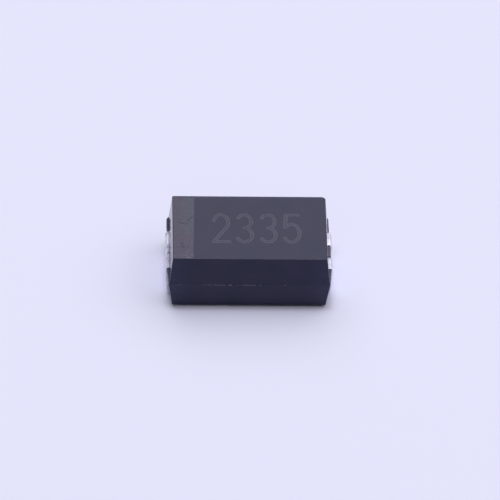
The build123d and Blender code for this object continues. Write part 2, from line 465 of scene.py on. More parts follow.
def tin_material(finish):
    """Dull tin plating over rolled strip, with rolling lines, dulled patches, films of resin and painted
    crevice shade next to the case.
    """
    material, nodes, shader = new_material("dull_tin")
    place = nodes.millimetres()
    rolled = nodes.noise(place, 0.03, stretch=(0.06, 1.0, 0.06))
    patches = nodes.noise(place, 0.35, 4.0)
    crystals = nodes.noise(place, 0.04, 2.0)
    patched = nodes.mix(nodes.ramp(patches, 0.42, 0.66), finish.tin, finish.tin_shade)
    lined = nodes.mix(nodes.ramp(rolled, 0.52, 0.72, 0.0, 0.45), patched, finish.tin_shade)

    # Resin bleeds out over the anode lead along the case, with crumbs in it, and thins out towards the bend;
    # it is darkest at the foot of the case wall, where it is also painted crevice shade
    x, y, z = nodes.split(place)
    ragged = x + (nodes.noise(place, 0.09, 3.0, 0.65) - 0.5) * 0.12
    thinning = nodes.ramp(ragged, ANODE_LOW.x + 0.01, ANODE_LOW.x + 0.10)
    at_anode = nodes.ramp(x, 0.0, -1.0)
    thinner_at_rear = nodes.ramp(y, 0.55, 0.35, 0.35, 1.0)
    on_top = nodes.ramp(z, ANODE_HIGH.z - 0.08, ANODE_HIGH.z - 0.02)
    bleed_and_crevice_shade = thinning * at_anode * thinner_at_rear * on_top
    bled_and_shaded = nodes.mix(bleed_and_crevice_shade, lined, finish.bleed_and_crevice_shade)
    crumbs = bleed_and_crevice_shade * nodes.ramp(nodes.noise(place, 0.10), 0.56, 0.64)
    crumbed = nodes.mix(crumbs, bled_and_shaded, finish.bleed_and_crevice_shade * 0.25)

    # A film of the case's epoxy lies along the leads' front edge
    front_film = nodes.ramp(y, ANODE_LOW.y + 0.12, ANODE_LOW.y + 0.08) * on_top
    base = nodes.mix(front_film, crumbed, finish.epoxy)
    roughness = nodes.ramp(patches * 0.6 + crystals * 0.4, 0.35, 0.65, 0.48, 0.62)
    relief = nodes.bump(crystals, 0.0010, 0.5, nodes.bump(rolled, 0.0012, 0.6))
    dress(nodes, shader, base, roughness, relief, metallic=1.0)
    return material


def powder_material(name, base, dark, metallic, roughness, grain_size, depth):
    """A sealed piece's grainy finish: sintered powder, fired coat, paint or adhesive."""
    material, nodes, shader = new_material(name)
    place = nodes.millimetres()
    grain = nodes.noise(place, grain_size, 3.0, 0.65)
    cloud = nodes.noise(place, grain_size * 12, 3.0, 0.5)
    grainy = nodes.mix(nodes.ramp(grain, 0.35, 0.62), dark, base)
    clouded = nodes.mix(nodes.ramp(cloud, 0.45, 0.7, 0.0, 0.5), grainy, dark)
    uneven = nodes.ramp(cloud, 0.3, 0.7, roughness - 0.08, roughness + 0.08)
    dress(nodes, shader, clouded, uneven, nodes.bump(grain, depth, 0.7), metallic)
    return material


def wire_material():
    """Drawn tantalum: blue grey, with fine die lines along the wire."""
    material, nodes, shader = new_material("drawn_tantalum")
    die_lines = nodes.noise(nodes.millimetres(), 0.02, stretch=(0.05, 1.0, 1.0))
    base = nodes.mix(nodes.ramp(die_lines, 0.4, 0.62), (0.22, 0.23, 0.28), (0.40, 0.41, 0.46))
    roughness = nodes.ramp(die_lines, 0.3, 0.7, 0.28, 0.42)
    dress(nodes, shader, base, roughness, nodes.bump(die_lines, 0.002, 0.6), metallic=1.0)
    return material


def spaced(low, high, step):
    """Evenly spaced values from low up to, not including, high, about a step apart."""
    count = max(1, round((high - low) / step))
    return [low + (high - low) * k / count for k in range(count)]


# Distances from a corner, in millimetres like all that follow, at which every face has a line of points
CORNER_LINES = (0.0, 0.006, 0.013, 0.022, 0.034, 0.050, 0.070, 0.095, 0.125, 0.16, 0.20, 0.25, 0.32, 0.40)

# Within this distance of a corner, the lines keep their distance from it at every height
CORNER_ZONE = 0.45

# Spacing of the top face's points: where the number lies, along the plain stretches and across them
FINE_STEP = 0.018
LONG_STEP = 0.09
CROSS_STEP = 0.05

# Room round the number that is as finely spaced, and more of it in front
NUMBER_MARGIN = 0.15
FRONT_MARGIN = 0.25

# How near the anode end's edge the hatching's own lines start, and how far past the band they go on
HATCH_START = 0.05
HATCH_OVERRUN = 0.03

# Heights at which each half has lines round it, counted from the parting plane or from the half's far face
UPPER_LEVELS = (0.24, 0.6)
FLASH_LEVELS = (0.0, 0.004, 0.035, 0.06, 0.09)
LOWER_LEVEL = 0.6
FACE_LEVELS = (0.09, 0.055)

# Reach of the flash at each end: distance across the case from front to rear, and how far out it stands
ANODE_FLASH = (
    (-2.13, 3.40), (-2.07, 3.54), (-1.30, 3.60),
    (1.24, 3.52), (1.29, 3.57), (1.38, 3.60), (1.98, 3.60), (2.09, 3.56), (2.14, 3.46),
)
CATHODE_FLASH = (
    (-2.13, 3.40), (-2.07, 3.535), (-1.30, 3.577), (0.0, 3.585), (1.30, 3.548), (2.06, 3.538), (2.13, 3.40),
)

# How near the lower half's ends the flash starts, and the width and height of its coarse and its fine tearing
FLASH_ZONE = 0.1
COARSE_TEAR = (0.09, 0.05)
FINE_TEAR = (0.03, 0.02)

# Scraps of flash left along the front of the parting line, painted pale as a highlight where light catches
# them: from, to and how pale
SCRAP_HIGHLIGHTS = (
    (-3.20, -2.92, 0.3), (-2.05, -1.62, 0.4), (-1.58, -1.02, 0.7),
    (-0.62, -0.36, 0.3), (-0.30, 0.26, 0.8), (0.42, 0.52, 0.4),
)

# Where scraps and chips lie on the front and the rear: just inside the widest line, and so far below the seam
SCRAP_INSET = 0.012
SCRAP_SPAN = (0.003, 0.07)
SCRAP_GRAIN = 0.07
CHIP_SIZE = 0.35

# A lead's cutter: its hairline, how far it goes into the wall, and how far it runs on out in the air
HAIRLINE = 0.003
INTO_WALL = 0.01
RUN_ON = 1.0

# What the case is moulded round; the coats are filled, because the pellet is inside them
HELD_PIECES = {
    "anode_terminal": False,
    "cathode_terminal": False,
    "silver_coat": True,
    "manganese_dioxide_coat": True,
    "insulating_washer": True,
    "tantalum_wire": True,
}


def rounded(x, y, half_x, half_y, radii):
    """Moves a point of a rectangle so that the rectangle's corners become arcs."""
    radius = radii[(x > 0) + 2 * (y > 0)]
    over_x = abs(x) - (half_x - radius)
    over_y = abs(y) - (half_y - radius)
    if over_x <= 0 or over_y <= 0:
        return x, y
    pull = max(over_x, over_y) / math.hypot(over_x, over_y)
    return (
        math.copysign(half_x - radius + over_x * pull, x),
        math.copysign(half_y - radius + over_y * pull, y),
    )


def half_mould(half_x, half_y, drafts, radii, shift, rise, edge, levels):
    """Outlines of one half of the moulding, from the parting plane to its far face.

    Each is half its length, half its width, its corner radii and its shift, with its distance from the plane.
    The shift grows evenly up to the far face, whose edges are rounded.
    """
    slopes = [math.tan(draft) for draft in drafts]
    outlines = []
    for away in (*levels, *(rise - level for level in FACE_LEVELS)):
        outlines.append((half_x - away * slopes[0], half_y - away * slopes[1], radii, away))
    steps = 5
    draft = 0.5 * sum(drafts)
    for turn in (draft + (math.radians(90) - draft) * k / steps for k in range(steps + 1)):
        inset_x, inset_y = (
            edge * (slope - 1 / math.cos(draft) + math.cos(turn)) - rise * slope for slope in slopes
        )
        smaller = [radius + edge * (math.cos(turn) - 1) for radius in radii]
        outlines.append((half_x + inset_x, half_y + inset_y, smaller, rise - edge + edge * math.sin(turn)))
    return [((x, y, corners, shift * away / rise), away) for x, y, corners, away in outlines]


def flash_reach(case, at_cathode, y, z, parting):
    """How far out the flash's broken edge stands at that place; the gate is torn off deeper."""
    reach = float(np.interp(y, *zip(*(CATHODE_FLASH if at_cathode else ANODE_FLASH))))
    depth = mm(case.break_depth)
    if at_cathode and abs(y) < 0.5 * mm(case.gate_width):
        reach = CASE_HIGH.x
        depth = mm(case.gate_depth)

    # Each end is torn in its own way
    seed = 9.0 if at_cathode else 3.0
    tears = (COARSE_TEAR, FINE_TEAR)
    coarse, fine = (noise_value(Vector((seed, y / wide, z / high))) for wide, high in tears)
    rim = FLASH_LEVELS[1] if z > parting - 1e-6 else 0.0
    return reach - depth * (0.5 + 0.6 * (coarse + 0.5 * fine)) - rim


def lower_half_length(case, terminal):
    """Half the lower half's length: its ends stand just clear of the folded leads."""
    return CATHODE_HIGH.x - mm(terminal.thickness) - mm(case.lead_gap)


def moulded_halves(case, terminal):
    """The outlines of the upper half, from its seam up, and of the lower half, from the seam down."""
    parting = ANODE_HIGH.z
    strip = mm(terminal.thickness)
    half_length = lower_half_length(case, terminal)
    corners = (mm(case.corner_radius),) * 4
    upper = half_mould(
        half_length - mm(case.half_step),
        CASE_HIGH.y - mm(case.half_step),
        (case.upper_end_draft, case.upper_side_draft),
        (*corners[:3], mm(case.blunt_radius)),
        mm(case.shift),
        CASE_HIGH.z - parting,
        mm(case.edge_radius),
        (mm(case.step_fade), *UPPER_LEVELS),
    )
    seam = (half_length - mm(case.seam_step), CASE_HIGH.y - mm(case.seam_step), corners, 0.0)
    lower = half_mould(
        half_length,
        CASE_HIGH.y,
        (case.lower_end_draft, case.lower_side_draft),
        (mm(case.lower_corner_radius),) * 4,
        0.0,
        parting - CASE_LOW.z,
        mm(case.under_edge_radius),
        (*FLASH_LEVELS, strip - FLASH_LEVELS[1], strip, LOWER_LEVEL),
    )
    return [(seam, 0.0)] + upper, lower


def top_face_lines(marking, flat_x, flat_y):
    """Where the top face's lines of points lie along and across it: close together under what is marked."""
    half_number = 0.5 * (mm(marking.digit_pitch) * (len(marking.number) - 1) + mm(marking.digit_width))
    half_number += NUMBER_MARGIN
    half_digit = 0.5 * mm(marking.digit_height) + NUMBER_MARGIN
    centre = mm(marking.number_centre)
    band_end = -flat_x + mm(marking.band_width) + HATCH_OVERRUN
    hatch_step = 0.25 * mm(marking.hatch_pitch)
    zone = CORNER_LINES[-1]

    xs = [-flat_x + d for d in CORNER_LINES if d < HATCH_START]
    xs += spaced(xs[-1] + hatch_step, band_end, hatch_step)
    xs += spaced(band_end, centre - half_number, LONG_STEP)
    xs += spaced(centre - half_number, centre + half_number, FINE_STEP)
    xs += spaced(centre + half_number, flat_x - zone, LONG_STEP)
    xs += [flat_x - d for d in reversed(CORNER_LINES)]

    ys = [-flat_y + d for d in CORNER_LINES]
    ys += spaced(-flat_y + zone + CROSS_STEP, -half_digit - FRONT_MARGIN, CROSS_STEP)
    ys += spaced(-half_digit - FRONT_MARGIN, half_digit, FINE_STEP)
    ys += spaced(half_digit, flat_y - zone, CROSS_STEP)
    ys += [flat_y - d for d in reversed(CORNER_LINES)]
    return xs, ys


def on_ring(place, flat, half):
    """A top face's coordinate moved to a ring of another size, where corners keep their own distances."""
    from_corner = flat - abs(place)
    return math.copysign(half - from_corner, place) if from_corner < CORNER_ZONE else place / flat * half


def case_shell(case, marking, terminal):
    """The moulding's outer skin as one closed mesh, and a fine grid that fits its top face."""
    parting = ANODE_HIGH.z
    strip = mm(terminal.thickness)
    half_length = lower_half_length(case, terminal)
    upper, lower = moulded_halves(case, terminal)

    # From the underside up past the flash, which is as thick as the strip, and on to the top face
    rings = [(*ring, parting - away) for ring, away in reversed(lower)]
    rings += [(*ring, parting + away) for ring, away in upper]

    flat_x, flat_y, flat_radii, shift = upper[-1][0]
    xs, ys = top_face_lines(marking, flat_x, flat_y)
    columns = len(xs)
    lines = len(ys)
    border = [(i, 0) for i in range(columns - 1)] + [(columns - 1, j) for j in range(lines - 1)]
    border += [(i, lines - 1) for i in range(columns - 1, 0, -1)] + [(0, j) for j in range(lines - 1, 0, -1)]
    around = len(border)

    vertices = []
    for number, (across, deep, radii, offset, z) in enumerate(rings):
        in_flash = number < len(lower) and z > parting - strip - 1e-6
        for i, j in border:
            x, y = rounded(on_ring(xs[i], flat_x, across), on_ring(ys[j], flat_y, deep), across, deep, radii)
            if in_flash and abs(x) > half_length - FLASH_ZONE:
                x = math.copysign(max(abs(x), flash_reach(case, x > 0, y, z, parting)), x)
            vertices.append((x, y + offset, z))

    faces = []
    for ring in range(len(rings) - 1):
        for k in range(around):
            a = ring * around + k
            b = ring * around + (k + 1) % around
            faces.append((a, b, b + around, a + around))
    faces.append(tuple(reversed(range(around))))
    last = (len(rings) - 1) * around
    faces.append(tuple(range(last, last + around)))
    shell = object_from("moulded_case_finish", vertices, faces)

    laid = [rounded(x, y, flat_x, flat_y, flat_radii) for x in xs for y in ys]
    grid = [(x, y + shift, CASE_HIGH.z) for x, y in laid]
    cells = [
        (i * lines + j, (i + 1) * lines + j, (i + 1) * lines + j + 1, i * lines + j + 1)
        for i in range(columns - 1)
        for j in range(lines - 1)
    ]
    return shell, object_from("top_face_grid", grid, cells)


def broken_or_highlit_at(place):
    """How broken the seam is at that place, with the painted highlight of scraps of flash along the front,
    and chips here and there.
    """
    pale = max((pale for start, end, pale in SCRAP_HIGHLIGHTS if place.y < 0 and start < place.x < end), default=0.0)
    scrap_highlight = pale * (0.55 + 0.45 * noise_value(Vector((place.x / SCRAP_GRAIN, 5.0, 0.0))))
    chip = (noise_value(place / CHIP_SIZE) - 0.30) / 0.25
    return max(scrap_highlight, min(1.0, chip))


def paint_case(shell, case, thickness, half_length):
    """Keeps how much of the skin is broken off at the gate and along the seam, with the painted highlight of
    scraps of flash along the front, as an attribute.
    """
    mesh = shell.data

    # The cuts hand on normals that no longer fit the skin
    outdated = mesh.attributes.get("custom_normal")
    if outdated:
        mesh.attributes.remove(outdated)

    # The gate's faces lie a little off their planes, because they are torn
    slack = 0.01
    values = []
    for vertex in mesh.vertices:
        x, y, z = vertex.co
        below = ANODE_HIGH.z - z
        in_gate = x > half_length - 2 * slack and abs(y) < 0.5 * mm(case.gate_width)
        at_seam = abs(y) > CASE_HIGH.y - SCRAP_INSET and SCRAP_SPAN[0] < below < SCRAP_SPAN[1]
        if in_gate and -slack < below < thickness + slack:
            values.append(1.0)
        else:
            values.append(broken_or_highlit_at(vertex.co) if at_seam else 0.0)
    mesh.attributes.new("fracture", "FLOAT", "POINT").data.foreach_set("value", values)


def lay_top_face(shell, grid):
    """Puts the fine grid in place of the shell's one large top face, and joins their borders."""
    form = bmesh.new()
    form.from_mesh(shell.data)
    widest = max((f for f in form.faces if f.normal.z > 0.99), key=lambda f: f.calc_area())
    bmesh.ops.delete(form, geom=[widest], context="FACES_ONLY")
    form.from_mesh(grid.data)
    at_top = [v for v in form.verts if v.co.z > CASE_HIGH.z - 1e-4]
    bmesh.ops.remove_doubles(form, verts=at_top, dist=1e-5)

    # The cuts leave slivers, which are merged away, and small holes, which are filled
    sliver = 4e-4
    bmesh.ops.remove_doubles(form, verts=form.verts, dist=sliver)
    bmesh.ops.dissolve_degenerate(form, edges=form.edges, dist=sliver)
    bmesh.ops.holes_fill(form, edges=[e for e in form.edges if e.is_boundary], sides=8)
    form.to_mesh(shell.data)
    form.free()
    remove(grid)


def box_cutter(low, high):
    """A plain closed box that cuts a pocket."""
    form = bmesh.new()
    bmesh.ops.create_cube(form, size=1.0)
    for vertex in form.verts:
        for axis in range(3):
            vertex.co[axis] = low[axis] if vertex.co[axis] < 0 else high[axis]
    return object_from_form("pocket", form)


def frame_cutter(name, is_filled):
    """A CAD node's shape, in millimetres, as a cutter; a filled one has its hollow filled."""
    form = bmesh.new()
    form.from_mesh(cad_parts[name].data)
    bmesh.ops.scale(form, vec=(1 / MM,) * 3, verts=form.verts)
    bmesh.ops.remove_doubles(form, verts=form.verts, dist=1e-4)
    if is_filled:
        hull = bmesh.ops.convex_hull(form, input=form.verts)
        inside = hull["geom_interior"] + hull["geom_unused"] + hull["geom_holes"]
        kept = set(hull["geom"])
        bmesh.ops.delete(form, geom=[f for f in form.faces if f not in kept], context="FACES")
        spare = [v for v in inside if isinstance(v, bmesh.types.BMVert) and v.is_valid]
        bmesh.ops.delete(form, geom=spare, context="VERTS")
    return object_from_form("held_pieces", form)


def end_cutter(end, inner, near, far, low, high):
    """A box that cuts from a place along the case out past its end."""
    reach = CATHODE_HIGH.x + RUN_ON
    return box_cutter((min(end * inner, end * reach), near, low), (max(end * inner, end * reach), far, high))


def case_cutters(case, terminal, half_length):
    """All that is cut from the case: the leads' pockets, the pieces it holds, and hairlines at the leads."""
    thickness = mm(terminal.thickness)
    parting = ANODE_HIGH.z
    half_pocket = ANODE_HIGH.y + mm(case.pocket_side_gap)
    inner = CATHODE_HIGH.x - mm(terminal.foot_length) - mm(case.foot_gap)
    ceiling = thickness + mm(case.foot_gap)
    cutters = [end_cutter(end, inner, -half_pocket, half_pocket, -RUN_ON, ceiling) for end in (-1, 1)]
    cutters += [frame_cutter(name, is_filled) for name, is_filled in HELD_PIECES.items()]

    # No flash crosses a lead, and a hairline parts them
    half_gap = 0.5 * mm(terminal.fork_gap)
    half_lead = ANODE_HIGH.y
    inner = half_length - INTO_WALL
    low = parting - thickness - HAIRLINE
    high = parting + HAIRLINE
    for end, near, far in ((-1, -half_lead, half_lead), (1, -half_lead, -half_gap), (1, half_gap, half_lead)):
        cutters.append(end_cutter(end, inner, near - HAIRLINE, far + HAIRLINE, low, high))

    # The adhesive's cutter reaches a little into the strip, so that no two faces of cutters coincide
    into_strip = 0.2 * thickness
    low = ADHESIVE_LOW - Vector((0.0, 0.0, into_strip))
    return cutters + [box_cutter(low, ADHESIVE_HIGH + Vector((into_strip, 0.0, 0.0)))]


def cut(obj, cutters):
    """Cuts closed helper meshes out exactly, then deletes them."""
    for cutter in cutters:
        modifier = obj.modifiers.new("cut", "BOOLEAN")
        modifier.operation = "DIFFERENCE"
        modifier.solver = "EXACT"
        modifier.object = cutter
    baked(obj)
    for cutter in cutters:
        remove(cutter)


def arc_points(cx, cy, rx, ry, start, end):
    """Points of an elliptic arc, angles in degrees, counted from the right, anticlockwise."""
    steps = 28
    turns = [math.radians(start + (end - start) * k / steps) for k in range(steps + 1)]
    return [(cx + rx * math.cos(t), cy + ry * math.sin(t)) for t in turns]


def digit_strokes(digit):
    """The strokes of one plain digit in a box one wide and one high, centred on its middle."""
    upper_three = arc_points(-0.02, 0.255, 0.42, 0.245, 150, -90)
    lower_three = arc_points(-0.02, -0.245, 0.47, 0.255, 90, -150)
    strokes = {
        "2": [arc_points(0, 0.21, 0.44, 0.29, 168, -32) + [(-0.46, -0.5), (0.48, -0.5)]],
        "3": [upper_three, lower_three],
        "5": [[(0.40, 0.5), (-0.34, 0.5), (-0.41, 0.05)] + arc_points(-0.03, -0.17, 0.49, 0.33, 140, -148)],
    }
    return strokes[digit]


def number_lines(marking):
    """The number's strokes, laid out on the top face."""
    pitch = mm(marking.digit_pitch)
    width = mm(marking.digit_width)
    height = mm(marking.digit_height)
    start = mm(marking.number_centre) - 0.5 * pitch * (len(marking.number) - 1)
    return [
        [(start + index * pitch + x * width, y * height) for x, y in stroke]
        for index, digit in enumerate(marking.number)
        for stroke in digit_strokes(digit)
    ]


# Knocks and missed spots in the band: both ends of each, in millimetres on the top face
BAND_SCARS = (
    ((-2.51, 0.72), (-2.72, 0.45)),
    ((-3.04, 0.34), (-2.79, 0.24)),
    ((-3.01, -0.95), (-2.90, -1.08)),
    ((-3.02, -1.20), (-2.67, -1.24)),
)


def top_curve(name, lines):
    """Lines of points on the top face as one curve object."""
    curve = bpy.data.curves.new(name, "CURVE")
    curve.dimensions = "3D"
    for line in lines:
        spline = curve.splines.new("POLY")
        spline.points.add(len(line) - 1)
        for point, (x, y) in zip(spline.points, line):
            point.co = (x, y, CASE_HIGH.z, 1.0)
    return linked(name, curve)


# Plain values that the marking tree takes, in millimetres but for the skew, which is a slope
MARKING_VALUES = (
    "Top", "Stroke Width", "Line Width", "Line Depth", "Band Start", "Band End", "Band Skew",
    "Band Half Width", "Band Depth", "Hatch Pitch", "Hatch Depth", "Scar Width",
)


def marking_tree(material):
    """The laser's work on the top face: outlined strokes, the burnt band, its hatching and its scars.

    Each point of the top face sinks by what the laser took there, and keeps how much it was burnt.
    """
    tree = bpy.data.node_groups.new("laser_marking", "GeometryNodeTree")
    kinds = {"Geometry": "Geometry", "Strokes": "Object", "Scars": "Object"}
    kinds |= dict.fromkeys(MARKING_VALUES, "Float")
    sockets = {
        name: tree.interface.new_socket(name, in_out="INPUT", socket_type="NodeSocket" + kind).identifier
        for name, kind in kinds.items()
    }
    tree.interface.new_socket("Geometry", in_out="OUTPUT", socket_type="NodeSocketGeometry")

    nodes = Nodes(tree)
    group = nodes.add("NodeGroupInput")
    value = {name: nodes.field(group, name) for name in MARKING_VALUES}
    position = nodes.add("GeometryNodeInputPosition")
    x, y, z = nodes.split(position)

    def distance_to(name):
        """How far each point lies from the curve held by that object."""
        settings = {"transform_space": "ORIGINAL"}
        held = nodes.add("GeometryNodeObjectInfo", settings, Object=group.outputs[name])
        wires = nodes.add("GeometryNodeCurveToMesh", Curve=held.outputs["Geometry"])
        near = nodes.add("GeometryNodeProximity", {"target_element": "EDGES"}, i0=wires)
        return nodes.field(near, "Distance")

    def unevenness(size, reach, detail=2.0):
        """Noise of that size which moves an edge to and fro by up to about half that reach."""
        return (nodes.noise(position, size, detail, 0.5) - 0.5) * reach

    on_top = nodes.math("GREATER_THAN", z, value["Top"] - 0.0005)
    from_stroke = distance_to("Strokes") + unevenness(1 / 9, 0.03)
    half_stroke = value["Stroke Width"] * 0.5
    half_line = value["Line Width"] * 0.5
    line = nodes.ramp(abs(from_stroke - half_stroke), half_line, half_line * 0.35)
    fill = nodes.ramp(from_stroke, half_stroke, half_stroke * 0.7) * 0.22
    burnt = nodes.math("MAXIMUM", line, fill) * on_top

    ragged = unevenness(1 / 16, 0.05, 3.0)
    along = x + ragged
    start = value["Band Start"]
    end = value["Band End"] + y * value["Band Skew"]
    half_width = value["Band Half Width"]
    after_start = nodes.ramp(along, start - 0.004, start + 0.008)
    before_end = nodes.ramp(along, end + 0.03, end - 0.03)
    within = nodes.ramp(abs(y) + ragged, half_width + 0.006, half_width - 0.006)
    from_scar = distance_to("Scars") + unevenness(1 / 24, 0.16)
    scar = nodes.ramp(from_scar, value["Scar Width"], value["Scar Width"] * 0.3)
    band = after_start * before_end * (within * on_top) * (1.0 - scar)

    hatch = nodes.math("SINE", x * math.tau / value["Hatch Pitch"]) * value["Hatch Depth"]
    sink = band * (value["Band Depth"] + hatch) + burnt * value["Line Depth"]
    shift = nodes.add("ShaderNodeCombineXYZ", i2=sink * -1.0)

    # The marks are kept before the points sink, because they are worked out from the flat face
    kept = group.outputs["Geometry"]
    for name, mark in (("burnt", burnt), ("band", band)):
        settings = {"data_type": "FLOAT", "domain": "POINT"}
        kept = nodes.add("GeometryNodeStoreNamedAttribute", settings, Geometry=kept, Name=name)
        nodes.feed([s for s in kept.inputs if s.name == "Value" and s.enabled][0], mark)
    sunk = nodes.add("GeometryNodeSetPosition", Geometry=kept, Offset=shift)
    whole = nodes.add("GeometryNodeRealizeInstances", Geometry=sunk)
    painted = nodes.add("GeometryNodeSetMaterial", Geometry=whole, Material=material)
    nodes.add("NodeGroupOutput", i0=painted)
    return tree, sockets


class CAPACITOR_OT_mould_case(bpy.types.Operator):
    """Moulds the case, cuts its lead pockets and burns in its band and number"""

    bl_idname = "capacitor.mould_case"
    bl_label = "Mould the Case"

    def execute(self, context):
        scene = context.scene
        case = scene.capacitor_case
        marking = scene.capacitor_marking
        terminal = scene.capacitor_terminal
        half_length = lower_half_length(case, terminal) - mm(case.half_step)
        shell, grid = case_shell(case, marking, terminal)
        cut(shell, case_cutters(case, terminal, half_length))
        lay_top_face(shell, grid)
        paint_case(shell, case, mm(terminal.thickness), half_length)

        rise = CASE_HIGH.z - ANODE_HIGH.z
        top_half_x = half_length - rise * math.tan(case.upper_end_draft)
        top_half_y = CASE_HIGH.y - mm(case.half_step) - rise * math.tan(case.upper_side_draft)
        margin = mm(case.edge_radius) + mm(marking.band_margin)
        strokes = top_curve("number_strokes", number_lines(marking))
        scars = top_curve("band_scars", BAND_SCARS)
        epoxy = epoxy_material(scene.capacitor_finish, top_half_x, top_half_y + mm(case.shift))
        tree, sockets = marking_tree(epoxy)
        modifier = shell.modifiers.new("laser_marking", "NODES")
        modifier.node_group = tree
        settings = {
            "Strokes": strokes,
            "Scars": scars,
            "Top": CASE_HIGH.z,
            "Band Start": -top_half_x + margin,
            "Band End": -top_half_x + mm(marking.band_width),
            "Band Skew": math.tan(marking.band_skew),
            "Band Half Width": top_half_y - margin,
        }
        for name in MARKING_VALUES:
            if name not in settings:
                settings[name] = mm(getattr(marking, name.lower().replace(" ", "_")))
        for name, setting in settings.items():
            modifier[sockets[name]] = setting
        baked(shell)
        remove(strokes)
        remove(scars)
        finish_piece(shell, "moulded_case")
        return {"FINISHED"}


# Farthest and closest spacing of the stations along a strip, and the number of steps in a bend
STATION_STEP = 0.15
CLOSEST_STATIONS = 0.004
BEND_STEPS = 8


def strip_stations(points, radius, marks):
    """Stations along a strip's middle line: distance, place and normal, with each bend as an arc."""
    corners = [Vector((x, z)) for x, z in points]
    stations = []
    travelled = 0.0
    here = corners[0]
    for before, corner, after in zip(corners, corners[1:], corners[2:] + [None]):
        along = (corner - before).normalized()
        if after is None:
            tangent = 0.0
        else:
            onward = (after - corner).normalized()
            turn = math.atan2(along.x * onward.y - along.y * onward.x, along.dot(onward))
            tangent = radius * math.tan(abs(turn) / 2)
        end = corner - along * tangent
        run = (end - here).length
        normal = Vector((-along.y, along.x))
        breaks = {run, *spaced(0.0, run, STATION_STEP)}
        breaks |= {mark - travelled for mark in marks if 1e-6 < mark - travelled < run - 1e-6}
        kept = [0.0]
        for distance in sorted(breaks):
            if distance - kept[-1] > CLOSEST_STATIONS:
                kept.append(distance)
        for distance in kept:
            stations.append((travelled + distance, here + along * distance, normal))
        travelled += run
        if after is None:
            break
        centre = end + normal * math.copysign(radius, turn)
        for k in range(1, BEND_STEPS):
            swing = turn * k / BEND_STEPS
            swung = Matrix.Rotation(swing, 2)
            place = centre + swung @ (end - centre)
            stations.append((travelled + radius * abs(swing), place, swung @ normal))
        travelled += radius * abs(turn)
        here = corner + onward * tangent
    return stations


def middle_radius(terminal):
    """Radius of the bends along the strip's middle line."""
    return mm(terminal.bend_radius) + 0.5 * mm(terminal.thickness)


def bent_blank(name, points, y_lines, is_metal, marks, terminal, material):
    """A blank cut from strip and bent round a path: a cell of it is metal where is_metal says so.

    Cells lie between neighbouring stations along the path and neighbouring lines across it.
    """
    thickness = mm(terminal.thickness)
    stations = strip_stations(points, middle_radius(terminal), marks)
    vertices = []
    for _, place, normal in stations:
        for y in y_lines:
            for side in (-0.5, 0.5):
                point = place + normal * (side * thickness)
                vertices.append((point.x, y, point.y))
    rows = len(y_lines)

    def at(i, j, side):
        return 2 * (i * rows + j) + side

    cells = {
        (i, j)
        for i in range(len(stations) - 1)
        for j in range(rows - 1)
        if is_metal(0.5 * (stations[i][0] + stations[i + 1][0]), 0.5 * (y_lines[j] + y_lines[j + 1]))
    }
    faces = []
    for i, j in cells:
        faces.append((at(i, j, 1), at(i, j + 1, 1), at(i + 1, j + 1, 1), at(i + 1, j, 1)))
        faces.append((at(i, j, 0), at(i + 1, j, 0), at(i + 1, j + 1, 0), at(i, j + 1, 0)))
        walls = (
            ((i - 1, j), (i, j), (i, j + 1)),
            ((i + 1, j), (i + 1, j + 1), (i + 1, j)),
            ((i, j - 1), (i + 1, j), (i, j)),
            ((i, j + 1), (i, j + 1), (i + 1, j + 1)),
        )
        for neighbour, a, b in walls:
            if neighbour not in cells:
                faces.append((at(*a, 0), at(*b, 0), at(*b, 1), at(*a, 1)))
    obj = object_from(name, vertices, faces, material)
    form = bmesh.new()
    form.from_mesh(obj.data)
    bmesh.ops.delete(form, geom=[v for v in form.verts if not v.link_faces], context="VERTS")
    bmesh.ops.recalc_face_normals(form, faces=form.faces)
    form.to_mesh(obj.data)
    form.free()
    modifier = obj.modifiers.new("stamped_edge", "BEVEL")
    modifier.width = mm(terminal.stamped_edge)
    modifier.segments = 2
    modifier.limit_method = "ANGLE"
    modifier.angle_limit = STAMPED_ANGLE
    return baked(obj)


